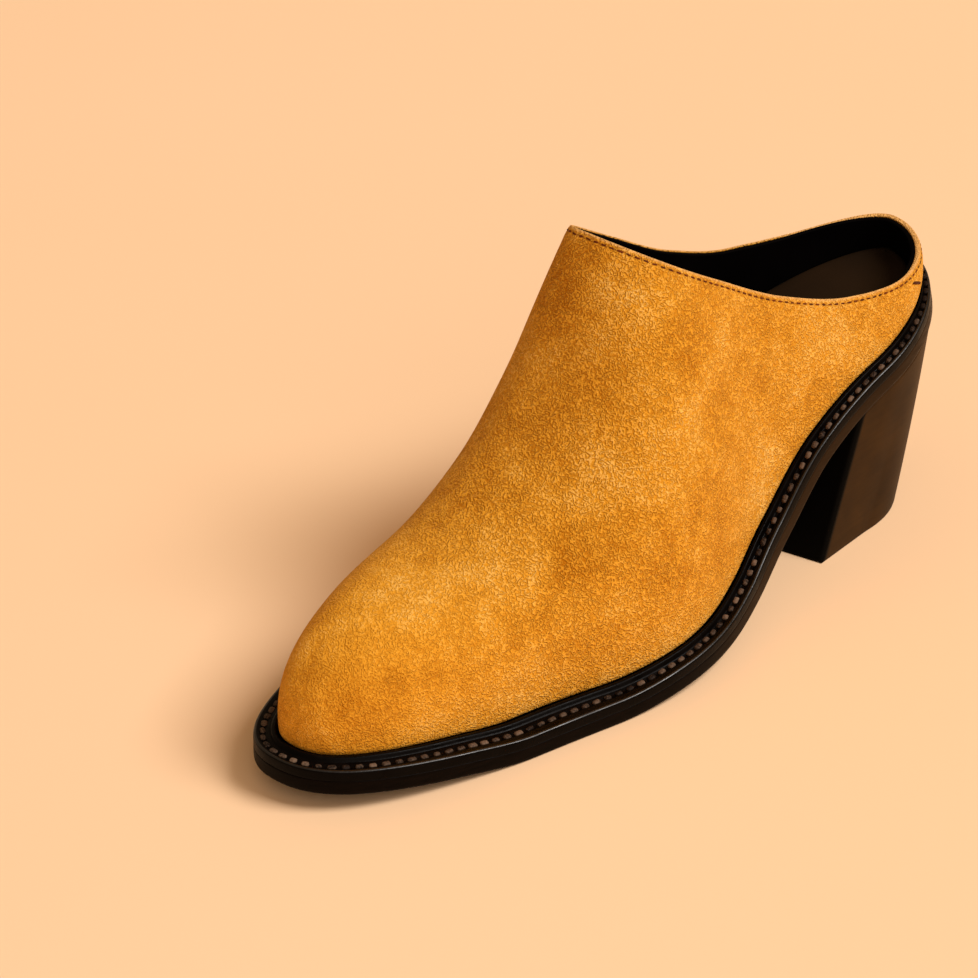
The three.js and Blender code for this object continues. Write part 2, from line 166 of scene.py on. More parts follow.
def stations(toe, fore, aft, back):
    """Stations from the toe tip to the back and the share of the full width kept at each.
    Toe and back are quarter superellipses, and the rows crowd at the peak from both sides."""
    turn = np.pi / 2 * np.arange(toe + 1) / toe
    s_toe = TOE_REACH * (1 - np.clip(np.cos(turn), 0, 1) ** (2 / TOE_SQUARE))
    share_toe = np.sin(turn) ** (2 / TOE_SQUARE)
    t = np.arange(1, fore + 1) / fore
    s_fore = PEAK - (PEAK - TOE_REACH) * (1 - t) ** 1.6
    t = np.arange(1, aft) / aft
    s_aft = PEAK + (LENGTH - BACK_REACH - PEAK) * (0.03 * t + 0.97 * t * t)
    turn = np.pi / 2 * np.arange(back, -1, -1) / back
    s_back = LENGTH - BACK_REACH + BACK_REACH * np.clip(np.cos(turn), 0, 1) ** (2 / BACK_SQUARE)
    share_back = np.sin(turn) ** (2 / BACK_SQUARE)
    s = np.concatenate([s_toe, s_fore, s_aft, s_back])
    share = np.concatenate([share_toe, np.ones(fore + aft - 1), share_back])
    return s, share, toe + fore


class Edge:
    """Closed edge of the sole in plan: up the outer side and back along the inner side, with the
    inward direction at each point."""

    def __init__(self, toe, fore, aft, back):
        row_s, share, self.peak = stations(toe, fore, aft, back)
        self.last = len(row_s) - 1
        inner = slice(self.last - 1, 0, -1)
        self.s = np.concatenate([row_s, row_s[inner]])
        outer_x = half_outer(row_s) * share
        inner_x = -half_inner(row_s) * share
        self.x = np.concatenate([outer_x, inner_x[inner]])
        self.count = len(self.s)
        dx = np.roll(self.x, -1) - np.roll(self.x, 1)
        ds = np.roll(self.s, -1) - np.roll(self.s, 1)
        run = np.hypot(dx, ds)
        self.in_x, self.in_s = -ds / run, dx / run
        self.mirror = (self.count - np.arange(self.count)) % self.count
        self.row = np.minimum(np.arange(self.count), self.mirror)
        self.margin = margin(self.s)

    def on_sole(self, inset, height):
        """Points of the edge moved inward in plan and raised."""
        return raised(self.x + self.in_x * inset, self.s + self.in_s * inset, height)


def raised(x, s, height):
    """Points over the underside of the sole, raised square to it."""
    tilt = np.arctan(underside(np.clip(s, 0, LENGTH), True))
    z = underside(np.clip(s, 0, LENGTH)) + height * np.cos(tilt)
    return np.stack(np.broadcast_arrays(x, s - height * np.sin(tilt), z), -1)


EDGE_STEPS = {"toe": 56, "fore": 56, "aft": 84, "back": 48}
loop = Edge(**EDGE_STEPS)
flat = np.zeros(loop.count)

# The source centres the shoe on its box, so the frame says where station 0 lies
side = loop.on_sole(0.0, OUTSOLE_THICK)
sole_low, sole_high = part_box("outsole")
SHIFT = np.array([
    0.5 * (side[:, 0].min() + side[:, 0].max()) - 500 * (sole_low.x + sole_high.x),
    0.5 * (side[:, 1].min() + side[:, 1].max()) - 500 * (sole_low.y + sole_high.y),
    0.0,
])


def to_frame(points):
    """Shoe millimetres to the frame's metres."""
    return (np.asarray(points, float) - SHIFT) * 0.001


def make_mesh(name, points, faces, material):
    """Smooth mesh object at the origin from shoe points and an array of triangles or quads."""
    mesh = bpy.data.meshes.new(name)
    points = to_frame(points)
    faces = np.asarray(faces)
    mesh.vertices.add(len(points))
    mesh.vertices.foreach_set("co", points.astype(np.float32).ravel())
    mesh.loops.add(faces.size)
    mesh.loops.foreach_set("vertex_index", faces.astype(np.int32).ravel())
    mesh.polygons.add(len(faces))
    starts = np.arange(0, faces.size, faces.shape[1], dtype=np.int32)
    mesh.polygons.foreach_set("loop_start", starts)
    mesh.polygons.foreach_set("use_smooth", np.full(len(faces), True))
    mesh.update(calc_edges=True)
    mesh.validate()
    mesh.materials.append(material)
    piece = bpy.data.objects.new(name, mesh)
    bpy.context.scene.collection.objects.link(piece)
    return piece


def add_value(piece, name, values):
    """Float attribute with one number a vertex, for the materials."""
    attribute = piece.data.attributes.new(name, "FLOAT", "POINT")
    attribute.data.foreach_set("value", np.asarray(values, np.float32))


def ring_faces(rings, count):
    """Quads between closed rings that follow each other, each with count points."""
    k = np.arange(count)
    n = (k + 1) % count
    r = np.arange(rings - 1)[:, None] * count
    return np.stack([r + k, r + n, r + count + n, r + count + k], -1).reshape(-1, 4)


def halved(quads):
    """Each quad as two triangles."""
    return np.concatenate([quads[:, [0, 1, 2]], quads[:, [0, 2, 3]]])


def tube_faces(rings, count):
    """Triangles of closed rings that follow each other, with a fan at either end to a pole. The
    two poles are the points numbered after the rings."""
    k = np.arange(count)
    n = (k + 1) % count
    last = (rings - 1) * count
    low, high = np.full(count, rings * count), np.full(count, rings * count + 1)
    fans = [np.stack([n, k, low], -1), np.stack([last + k, last + n, high], -1)]
    return np.concatenate([halved(ring_faces(rings, count)), *fans])


def unit(vectors):
    """Each vector divided by its length."""
    return vectors / np.linalg.norm(vectors, axis=-1, keepdims=True)


def run_along(path):
    """Length from the start of an open path to each of its points."""
    return np.concatenate([[0], np.cumsum(np.linalg.norm(np.diff(path, axis=0), axis=1))])


def outward(points, faces):
    """Faces turned so that the closed mesh has a positive volume: the sum over its triangles of
    first point times the cross product of the other two."""
    corners = [points[faces[:, k]] for k in range(faces.shape[1])]
    volume = sum(np.einsum("ij,ij->", corners[0], np.cross(b, c))
                 for b, c in zip(corners[1:-1], corners[2:]))
    return faces[:, ::-1] if volume < 0 else faces


def face_normals_to_points(points, quads):
    """Unit normal at each point: the sum of its faces' normals, each the cross product of the
    face's diagonals, so larger faces count for more."""
    a, b, c, d = (points[quads[:, k]] for k in range(4))
    face = np.cross(c - a, d - b)
    total = np.zeros_like(points)
    for k in range(4):
        np.add.at(total, quads[:, k], face)
    return total / np.maximum(np.linalg.norm(total, axis=1, keepdims=True), 1e-12)


# Upper

def gathered(s):
    """Station on the ridge that the rib from station s runs to."""
    return -soft_max(-soft_max(s, TOE_POLE, GATHER), -BACK_POLE, GATHER)


def rib_points(turn):
    """Points of the last at (edge point, turn): turn 0 on the ridge, a quarter turn at the feather
    line. In plan a rib runs straight from its foot to the ridge as sin(turn) to a power, and its
    height over the foot is that share of the crest given by cos(turn) to a power."""
    foot = loop.on_sole(loop.margin, WELT_TOP + SEAM)[:, None, :]
    head = gathered(loop.s)[:, None]
    across = np.clip(np.sin(turn), 0, 1) ** (2 / full_across(head))
    up = np.clip(np.cos(turn), 0, 1) ** (2 / full_up(head))
    x = ridge_shift(head) + (foot[..., 0] - ridge_shift(head)) * across
    s = head + (foot[..., 1] - head) * across
    z = foot[..., 2] + (crest(s) - foot[..., 2]) * up
    return np.stack([x, s, z], -1)


closed_rib = loop.row <= loop.peak


SEARCH_STEPS, HALVINGS = 240, 30


def collar_turns():
    """Turn at which each rib behind the peak meets the topline, found going up from the foot and
    narrowed by halving; 0 on the closed ribs."""
    steps = np.linspace(np.pi / 2, 0, SEARCH_STEPS)[None, :].repeat(loop.count, 0)

    def over(turn):
        p = rib_points(turn)
        line = topline(np.clip(p[..., 1], PEAK, LENGTH - 4))
        return p[..., 2] - line - COLLAR_LIFT * p[..., 0] / 30

    above = over(steps) >= 0
    first = np.where(above.any(1), above.argmax(1), steps.shape[1] - 1)
    rows = np.arange(loop.count)
    high = steps[rows, first]
    low = steps[rows, np.maximum(first - 1, 0)]
    for _ in range(HALVINGS):
        middle = 0.5 * (low + high)
        is_low = over(middle[:, None])[:, 0] < 0
        low, high = np.where(is_low, middle, low), np.where(is_low, high, middle)
    return np.where(closed_rib, 0.0, 0.5 * (low + high))


collar_turn = collar_turns()


def rows_down(top_rows, top_band, middle_rows, foot_rows, foot_band):
    """Points of the last in rows from the collar or ridge down to the feather line: close rows in
    a band below the top and in one above the foot, even rows between. Rows are spaced by the
    length along each rib."""
    fine, crowding = 260, 1.4
    share = np.linspace(0, 1, fine) ** crowding
    turn = collar_turn[:, None] + (np.pi / 2 - collar_turn[:, None]) * share
    line = rib_points(turn)
    step = np.linalg.norm(np.diff(line, axis=1), axis=2)
    run = np.concatenate([np.zeros((loop.count, 1)), np.cumsum(step, 1)], 1)
    length = run[:, -1:]
    squeeze = np.minimum(1.0, 0.4 * length / top_band)
    top = top_band * squeeze * np.linspace(0, 1, top_rows + 1)
    band = np.minimum(foot_band, 0.25 * length)
    foot = length - band * np.linspace(1, 0, foot_rows + 1)
    t = np.linspace(0, 1, middle_rows + 2)[1:-1]
    middle = top[:, -1:] + (foot[:, :1] - top[:, -1:]) * t
    want = np.concatenate([top, middle, foot], 1)
    out = np.empty((loop.count, want.shape[1], 3))
    for i in range(loop.count):
        for k in range(3):
            out[i, :, k] = np.interp(want[i], run[i], line[i, :, k])
    return out, want, length


def weld_ridge(grid):
    """Point numbers of the grid with the ridge shared by the two closed ribs that meet there."""
    count, rows = grid.shape[:2]
    ids = np.arange(count * rows).reshape(count, rows)
    partner = closed_rib & (np.arange(count) > loop.last)
    ids[partner, 0] = ids[loop.mirror[partner], 0]
    points = grid.reshape(-1, 3)
    nxt = np.roll(ids, -1, axis=0)
    quads = np.stack([ids[:, :-1], nxt[:, :-1], nxt[:, 1:], ids[:, 1:]], -1).reshape(-1, 4)
    return ids, points, quads


def drop_unused(points, faces, *values):
    """Points that no face uses are dropped, and the faces and values renumbered with them."""
    used = np.unique(faces)
    number = np.full(len(points), -1)
    number[used] = np.arange(len(used))
    return points[used], number[faces], *[v[used] for v in values]


def distance_to_path(points, path):
    """Shortest distance from each point to a closed path of short straight pieces."""
    nearest = np.full(len(points), 1e9)
    ends = np.roll(path, -1, axis=0)
    for a, b in zip(path, ends):
        ab = b - a
        t = np.clip((points - a) @ ab / max(ab @ ab, 1e-12), 0, 1)
        nearest = np.minimum(nearest, np.linalg.norm(points - a - t[:, None] * ab, axis=1))
    return nearest


def steps_between(value, low, high):
    """0 below low, 1 above high, and a smooth rise between."""
    t = np.clip((value - low) / (high - low), 0, 1)
    return t * t * (3 - 2 * t)


def bump_curve(distance, centre, width):
    """Smooth hump of height 1 at centre that fades out over width."""
    return np.exp(-((distance - centre) / width) ** 2)


STITCH_DROP = 1.15   # collar stitches under the edge
STITCH_PITCH = 2.3
BACK_SWELL = 1.0     # the suede bows out behind the heel seat
SKIN_ROWS = {"top_rows": 18, "top_band": 5.4, "middle_rows": 64, "foot_rows": 8, "foot_band": 2.4}
GROOVE_DEPTH, GROOVE_WIDTH = 0.1, 0.35              # seam groove under the stitches
EDGE_FALL, EDGE_WIDTH = 0.2, 0.4                    # rounding at the collar's edge
FULL_RISE, FULL_PLACE, FULL_WIDTH = 0.05, 2.8, 1.2  # slight fullness below the groove
TUCK_DEPTH, TUCK_HEIGHT = 0.55, 0.7                 # the suede goes in behind the welt

# Soft troughs and ridges of the suede: side (1 outer, -1 inner, 0 both), station and
# height of the middle, half length along and half height, slant, depth
SOFT_FOLDS = [
    (1, 128, 62, 22, 5, 0.35, -0.45),
    (1, 133, 52, 20, 4, 0.35, 0.3),
    (1, 112, 40, 16, 5, 0.6, -0.35),
    (1, 150, 58, 18, 4, 0.1, -0.3),
    (0, 88, 58, 7, 9, 0.0, -0.35),
    (0, 104, 76, 6, 9, 0.0, -0.3),
    (1, 70, 34, 20, 5, -0.2, -0.35),
    (1, 176, 56, 16, 4, -0.25, 0.3),
    (-1, 118, 50, 20, 6, 0.5, -0.4),
    (-1, 150, 60, 18, 4, 0.1, -0.35),
    (-1, 84, 34, 18, 5, -0.1, -0.3),
]


def fold_depths(points):
    """Sum of the listed soft folds: each is a smooth hump in station and height, slanted."""
    side = np.sign(points[:, 0] - ridge_shift(np.clip(points[:, 1], 0, LENGTH)))
    depth = np.zeros(len(points))
    for which, s, z, long, high, slant, amount in SOFT_FOLDS:
        ds = points[:, 1] - s
        dz = points[:, 2] - z - slant * ds
        near = np.exp(-(ds / long) ** 2 - (dz / high) ** 2)
        if which:
            near = near * (0.5 + 0.5 * np.tanh(which * side * 3))
        depth += amount * near
    return depth


def upper_skin():
    """Outer skin of the upper, its stitched collar and rolled edge, as one mesh."""
    grid, run, length = rows_down(**SKIN_ROWS)
    ids, points, quads = weld_ridge(grid)
    normal = face_normals_to_points(points, quads)
    rib_tried, row_tried = 20, 30
    if normal[ids[rib_tried, row_tried], 0] < 0:
        normal, quads = -normal, quads[:, ::-1]
    open_rows = np.arange(loop.peak, loop.count - loop.peak + 1)
    rim = ids[open_rows, 0][:-1]
    path = points[rim]
    distance = distance_to_path(points, path[::2])
    return dict(ids=ids, points=points, quads=quads, normal=normal, rim=rim, distance=distance,
                run=run, length=length)


skin = upper_skin()


def dressed_skin():
    """The skin moved out or in along its normals: a seam groove under the stitches, a rounded
    edge, a slight fullness below the groove, a tuck where it meets the welt, a swell at the back
    that goes as the sine of the height over the welt, and the soft folds."""
    p, n, d = skin["points"], skin["normal"], skin["distance"]
    to_foot = (skin["length"] - skin["run"]).reshape(-1)
    move = -GROOVE_DEPTH * bump_curve(d, STITCH_DROP, GROOVE_WIDTH)
    move -= EDGE_FALL * np.exp(-(d / EDGE_WIDTH) ** 2)
    move += FULL_RISE * bump_curve(d, FULL_PLACE, FULL_WIDTH)
    move -= TUCK_DEPTH * np.exp(-to_foot / TUCK_HEIGHT)
    at_back = steps_between(p[:, 1], 196, 226)
    move += BACK_SWELL * at_back * np.sin(np.pi * np.clip(to_foot / 15, 0, 1))
    move += fold_depths(p) * np.clip((d - 3) / 6, 0, 1) * np.clip(to_foot / 8, 0, 1)
    return p + n * move[:, None]


skin_points = dressed_skin()


# Colours and nodes

def linear(hex_colour):
    """sRGB hex colour to the linear numbers that shaders take."""
    parts = np.array([int(hex_colour[k : k + 2], 16) / 255 for k in (1, 3, 5)])
    parts = np.where(parts <= 0.04045, parts / 12.92, ((parts + 0.055) / 1.055) ** 2.4)
    return (*[float(c) for c in parts], 1.0)


def add(tree, kind, inputs, stops=(), out=0, **settings):
    """One node with its settings: each input, by name or number, is a link or a constant, and a
    colour ramp also takes its stops of (place, hex colour). Gives the output asked for."""
    made = tree.nodes.new("ShaderNode" + kind)
    for key, value in settings.items():
        setattr(made, key, value)
    for key, value in inputs.items():
        if isinstance(value, bpy.types.NodeSocket):
            tree.links.new(value, made.inputs[key])
        else:
            made.inputs[key].default_value = value
    for place, colour in stops[2:]:
        made.color_ramp.elements.new(place)
    for k, (place, colour) in enumerate(stops):
        made.color_ramp.elements[k].position = place
        made.color_ramp.elements[k].color = linear(colour)
    return made.outputs[out] if made.outputs else None


def new_material(name):
    """Empty node material, and the object's own coordinates turned to millimetres."""
    material = bpy.data.materials.new(name)
    material.use_nodes = True
    tree = material.node_tree
    tree.nodes.clear()
    where = add(tree, "TexCoord", {}, out="Object")
    mm = add(tree, "VectorMath", {0: where, "Scale": 1000.0}, operation="SCALE")
    return material, tree, mm


def toward(tree, body, value_name, colour):
    """Colour mixed toward another by a value that the mesh carries at its points."""
    amount = add(tree, "Attribute", {}, out="Fac", attribute_name=value_name)
    return add(tree, "Mix", {0: amount, 6: body, 7: linear(colour)}, data_type="RGBA", out=2)


def finish_material(material, tree, height, height_mm, sockets):
    """Principled shader with its sockets, a bump of height_mm, and the output."""
    if height is not None:
        sockets["Normal"] = add(tree, "Bump", {"Height": height, "Distance": height_mm * 0.001})
    shader = add(tree, "BsdfPrincipled", sockets)
    add(tree, "OutputMaterial", {"Surface": shader})
    return material


# Lumps of a noise of scale 1 / n are about n millimetres across
def golden_suede():
    """Calf suede, split leather buffed to a short nap: matt, with a soft bright rim where fibres
    catch the light, short curls about 0.4 mm wide and 1.5 mm long, and cloudy marks where the nap
    was brushed another way. Real fibres are finer; the curls stand for tufts of them. The colour
    also holds painted light: a painted highlight on the collar's edge, partly its pressed nap,
    painted shade in the stitch groove, and listed marks of painted light and shade."""
    material, tree, where = new_material("golden_tan_suede")
    # Curls are the waves of sine over two soft noises, and a third noise picks which one shows
    waves = []
    for size, turns in ((1.3, 22.0), (1.0, 18.0)):
        field = add(tree, "TexNoise", {"Vector": where, "Scale": 1 / size, "Detail": 0.6,
                                       "Distortion": 0.25})
        phase = add(tree, "Math", {0: field, 1: turns}, operation="MULTIPLY")
        waves.append(add(tree, "Math", {0: phase}, operation="SINE"))
    pick = add(tree, "TexNoise", {"Vector": where, "Scale": 1 / 0.9, "Detail": 0.0})
    pick = add(tree, "MapRange", {"Value": pick, "From Min": 0.44, "From Max": 0.56})
    curls = add(tree, "Mix", {0: pick, 2: waves[0], 3: waves[1]}, data_type="FLOAT")
    raised_nap = add(tree, "Attribute", {}, out="Fac", attribute_name="nap")
    curls = add(tree, "Math", {0: curls, 1: raised_nap}, operation="MULTIPLY")
    grit = add(tree, "TexNoise", {"Vector": where, "Scale": 1 / 0.35, "Detail": 1.0})
    brushed = add(tree, "TexNoise", {"Vector": where, "Scale": 1 / 6.0, "Detail": 3.0,
                                     "Roughness": 0.6, "Distortion": 0.5})
    cloudy = add(tree, "TexNoise", {"Vector": where, "Scale": 1 / 24.0, "Detail": 2.0,
                                    "Distortion": 0.4})
    # Listed marks of painted light and shade, with the nap's own mottling, start the tone
    painted_light_and_nap = add(tree, "Attribute", {}, out="Fac", attribute_name="painted_light_and_nap")
    tone = painted_light_and_nap
    for part, weight in ((curls, 0.075), (grit, 0.26), (brushed, 0.24), (cloudy, 0.34)):
        tone = add(tree, "Math", {0: part, 1: weight, 2: tone}, operation="MULTIPLY_ADD")
    body = add(tree, "ValToRGB", {"Fac": tone}, [
        (0.24, "#B26A06"), (0.46, "#E7A02B"), (0.70, "#FFD178")], out="Color")
    # Painted highlight on the collar's edge, partly the paler pressed nap there
    body = toward(tree, body, "rim", "#EFBB78")
    # Painted shade in the groove under the collar stitches
    body = toward(tree, body, "seam", "#7A4310")
    height = curls
    for part, weight in ((grit, 1.0), (brushed, 2.0)):
        height = add(tree, "Math", {0: part, 1: weight, 2: height}, operation="MULTIPLY_ADD")
    return finish_material(material, tree, height, 0.17, {
        "Base Color": body, "Roughness": 0.95, "Specular IOR Level": 0.1, "Sheen Weight": 0.3,
        "Sheen Roughness": 0.45, "Sheen Tint": linear("#FFB860")})


def cloudy_leather(name, grain_mm, cloud_mm, cloud_detail, dark, light, bump_mm, rough, shine):
    """Smooth dyed leather: fine grain as a bump, and two near colours in slow clouds."""
    material, tree, where = new_material(name)
    grain = add(tree, "TexNoise", {"Vector": where, "Scale": 1 / grain_mm, "Detail": 3.0})
    cloud = add(tree, "TexNoise", {"Vector": where, "Scale": 1 / cloud_mm, "Detail": cloud_detail})
    colour = add(tree, "ValToRGB", {"Fac": cloud}, [(0.3, dark), (0.7, light)])
    return finish_material(material, tree, grain, bump_mm, {
        "Base Color": colour, "Roughness": rough, "Specular IOR Level": shine})


def waxed_welt():
    """Bridle leather strip dyed black and waxed: near-black with a soft shine on its round edge."""
    material, tree, where = new_material("black_waxed_welt")
    grain = add(tree, "TexNoise", {"Vector": where, "Scale": 1 / 0.8, "Detail": 4.0})
    wax = add(tree, "TexNoise", {"Vector": where, "Scale": 1 / 5.0, "Detail": 4.0})
    colour = add(tree, "ValToRGB", {"Fac": wax}, [(0.3, "#020101"), (0.7, "#080504")])
    rough = add(tree, "MapRange", {"Value": wax, "From Min": 0.3, "From Max": 0.7,
                                   "To Min": 0.24, "To Max": 0.46})
    rubbed = add(tree, "Attribute", {}, out="Fac", attribute_name="rubbed")
    shine = add(tree, "MapRange", {"Value": rubbed, "To Min": 0.05, "To Max": 0.5})
    return finish_material(material, tree, grain, 0.06, {
        "Base Color": colour, "Roughness": rough, "Specular IOR Level": shine})


def sole_edge():
    """Edge of a leather outsole, inked dark brown and burnished with a hot iron: satin, with faint
    lines along it from the trimming wheel, and browner behind the waist."""
    material, tree, where = new_material("burnished_sole_edge")
    along = add(tree, "Mapping", {"Vector": where, "Scale": (0.12, 0.12, 1.0)})
    lines = add(tree, "TexNoise", {"Vector": along, "Scale": 1 / 0.7, "Detail": 4.0})
    colour = add(tree, "ValToRGB", {"Fac": lines}, [(0.3, "#040201"), (0.7, "#0E0704")])
    colour = toward(tree, colour, "waist", "#2A1B0C")
    rough = add(tree, "MapRange", {"Value": lines, "From Min": 0.3, "From Max": 0.7,
                                   "To Min": 0.34, "To Max": 0.52})
    return finish_material(material, tree, lines, 0.05, {
        "Base Color": colour, "Roughness": rough, "Specular IOR Level": 0.04})


def heel_stack():
    """Stacked leather lifts, sanded, inked dark brown and polished: satin, with faint level lines
    between the lifts, cloudy ink, and the breast made near-black as painted shade."""
    material, tree, where = new_material("inked_stacked_heel")
    level = add(tree, "Mapping", {"Vector": where, "Scale": (0.1, 0.1, 1.0)})
    lines = add(tree, "TexNoise", {"Vector": level, "Scale": 1 / 1.4, "Detail": 4.0})
    cloud = add(tree, "TexNoise", {"Vector": where, "Scale": 1 / 14.0, "Detail": 3.0})
    colour = add(tree, "ValToRGB", {"Fac": cloud}, [(0.3, "#2E1D0B"), (0.7, "#3D270E")])
    faint = add(tree, "MapRange", {"Value": lines, "From Min": 0.35, "From Max": 0.7,
                                   "To Max": 0.2})
    colour = add(tree, "Mix", {0: faint, 6: colour, 7: linear("#1C1006")}, data_type="RGBA", out=2)
    # Painted shade: the breast faces away from the light and is made near-black
    colour = toward(tree, colour, "breast", "#030201")
    return finish_material(material, tree, lines, 0.02, {
        "Base Color": colour, "Roughness": 0.5, "Specular IOR Level": 0.06})


def waxed_thread(name, colour, dark):
    """Waxed linen thread laid as single stitches: matt, with the fine twist of its strands, and
    dirt that darkens each stitch by a different amount."""
    material, tree, where = new_material(name)
    twist = add(tree, "TexNoise", {"Vector": where, "Scale": 1 / 0.5, "Detail": 2.0})
    worn = add(tree, "Attribute", {}, out="Fac", attribute_name="worn")
    tone = add(tree, "Math", {0: twist, 1: 0.8, 2: worn}, operation="MULTIPLY_ADD")
    shade = add(tree, "ValToRGB", {"Fac": tone}, [(0.3, dark), (1.0, colour)])
    return finish_material(material, tree, twist, 0.1, {
        "Base Color": shade, "Roughness": 0.6, "Specular IOR Level": 0.1})


SUEDE = golden_suede()
# Vegetable-tanned lining leather dyed black: smooth, dull, with a fine pebble grain
LINING = cloudy_leather("black_lining_leather", 1.1, 18.0, 2.0, "#020101", "#050303", 0.05, 0.7,
                        0.02)
# Sock lining of smooth dyed leather: charcoal brown, half matt, with soft low grain
SOCK = cloudy_leather("charcoal_sock_leather", 0.9, 30.0, 3.0, "#1B1209", "#291B0E", 0.04, 0.6,
                      0.06)
WELT = waxed_welt()
SOLE = sole_edge()
HEEL = heel_stack()
WELT_THREAD = waxed_thread("grey_waxed_thread", "#806855", "#1B120D")
COLLAR_THREAD = waxed_thread("rust_waxed_thread", "#73330F", "#2E1206")


# Pieces of the upper

# Soft light and dark marks on the suede, partly painted light and shade and partly the nap's
# own mottling: place in the shoe, reach, tone
NAP_TONE_AND_PAINTED_LIGHT = [
    (10.7, 121, 94, 6, 0.06), (8.7, 38.5, 40, 8, 0.06), (14.5, 67, 41.5, 9, 0.04),
    (21, 95, 54, 9, 0.035), (2, 18, 35, 8, 0.04), (24, 188, 63, 12, 0.06), (24, 200, 65, 9, 0.04),
    (32, 136, 23.5, 12, 0.06), (28, 152, 32, 12, 0.05), (19, 30.5, 27, 9, -0.1),
    (11, 13.5, 25, 8, -0.08), (-6, 113, 92, 7, -0.1), (-3.5, 108.5, 84, 7, -0.09),
    (-6.5, 87.5, 58, 9, -0.05), (18.5, 78, 43.5, 7, -0.05), (11, 103.5, 70.5, 6, -0.06),
    (20, 133.5, 83, 8, -0.07), (23, 126.5, 77, 8, -0.04), (37, 91.5, 17, 9, -0.05),
    (28, 86.5, 39, 7, -0.03),
]


def nap_tone_and_painted_light(points):
    """Sum of the listed marks, painted light and shade with nap mottling: each a round hump from
    its place.
    """
    tone = np.zeros(len(points))
    for x, s, z, reach, amount in NAP_TONE_AND_PAINTED_LIGHT:
        away = np.linalg.norm(points - np.array([x, s, z]), axis=1)
        tone += amount * np.exp(-(away / reach) ** 2)
    return tone


def rim_frame():
    """At each point of the collar's edge, the direction that runs on past it: square to the edge
    and to the skin's outward direction."""
    rim = skin["rim"]
    p = skin["points"][rim]
    along = unit(np.roll(p, -1, axis=0) - np.roll(p, 1, axis=0))
    on = unit(np.cross(along, skin["normal"][rim]))
    tried = 60
    below = skin["points"][skin["ids"][loop.peak + tried, 1]]
    return -on if np.dot(on[tried], p[tried] - below) < 0 else on


rim_on = rim_frame()

PROUD_PLACE, PROUD_REACH = np.array([-17.0, 224.0, 70.0]), 13.0


def proud(points):
    """How far the lining's edge stands over the suede's: 1 at the inner corner of the back and 0
    a little away, falling off as a flat-topped round hump."""
    return np.exp(-(np.linalg.norm(points - PROUD_PLACE, axis=1) / PROUD_REACH) ** 4)


def split_depth():
    """Depth below the skin at which suede and lining meet; the suede is pared at the collar."""
    return 0.85 - 0.2 * np.exp(-(skin["distance"] / 1.6) ** 2)


EDGE_RINGS = 8                    # steps of the half round edge
DROP_ZONE, DROP_FADE = 6.0, 2.5   # reach below the edge that is let down with it
OFF_SKIN = 99.0                   # distance from the edge given to points off the outer face


def shell(name, material, outer, outer_depth, inner_depth, edge_drop, edge_rise):
    """Closed wall between the outer surface and one inner_depth below it, both with the skin's
    faces; the collar's edge is closed by half round rings and the foot by a strip. Depths are
    measured in along the skin's normals, and the edge is let down by edge_drop at each point.
    Gives the piece, its points, their distance from the edge, and which lie on the rings."""
    n, quads, ids, rim = skin["normal"], skin["quads"], skin["ids"], skin["rim"]
    first = outer - n * np.reshape(outer_depth, (-1, 1))
    second = skin["points"] - n * np.reshape(inner_depth, (-1, 1))
    close = np.nonzero(skin["distance"] < DROP_ZONE)[0]
    gap = np.linalg.norm(skin["points"][close][:, None] - skin["points"][rim][None], axis=2)
    drop = edge_drop * np.exp(-(skin["distance"] / DROP_FADE) ** 2)
    down = rim_on[gap.argmin(1)] * drop[close, None]
    first[close] -= down
    second[close] -= down
    count = len(first)
    turns = np.pi * np.arange(1, EDGE_RINGS) / EDGE_RINGS
    a, b = first[rim], second[rim]
    centre, half = 0.5 * (a + b), 0.5 * (a - b)
    lift = rim_on * edge_rise
    rings = [centre + half * math.cos(turn) + lift * math.sin(turn) for turn in turns]
    points = np.concatenate([first, second, *rings])
    k = np.arange(len(rim))
    levels = [rim, *[2 * count + r * len(rim) + k for r in range(len(turns))], rim + count]
    strips = [np.stack([low, np.roll(low, -1), np.roll(high, -1), high], -1)
              for low, high in zip(levels[:-1], levels[1:])]
    foot = ids[:, -1]
    foot_next = np.roll(foot, -1)
    strips.append(np.stack([foot_next, foot, foot + count, foot_next + count], -1))
    faces = outward(points, np.concatenate([quads, quads[:, ::-1] + count, *strips]))
    distance = np.concatenate([skin["distance"], np.full(len(points) - count, OFF_SKIN)])
    points, faces, distance, kind = drop_unused(points, faces, distance, np.arange(len(points)))
    piece = make_mesh(name, points, faces, material)
    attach(piece, "root")
    return piece, points, distance, kind >= 2 * count


EDGE_RISE = 0.3     # height of the half round edges
WALL_GAP = 0.05     # between suede and lining
hidden = proud(skin["points"])
suede, suede_points, suede_distance, on_edge = shell(
    "suede_upper", SUEDE, skin_points, 0.0, split_depth(), 0.45 * hidden, EDGE_RISE)
# Painted highlight on the collar's edge and its half round rings, partly pressed nap
add_value(suede, "rim", np.where(on_edge, 0.7, 0.6 * np.exp(-(suede_distance / 0.3) ** 2)))
# Painted shade in the groove under the collar stitches
add_value(suede, "seam", 0.35 * bump_curve(suede_distance, STITCH_DROP, 0.3))
# Painted light and shade with the nap's own mottling, from the listed marks
add_value(suede, "painted_light_and_nap", nap_tone_and_painted_light(suede_points))
add_value(suede, "nap", 0.6 + 0.4 * steps_between(suede_points[:, 1], 15, 75))
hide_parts("upper")

shell("lining", LINING, skin["points"], split_depth() + WALL_GAP, WALL, 0.25 * (1 - hidden),
      EDGE_RISE)


# Stitches

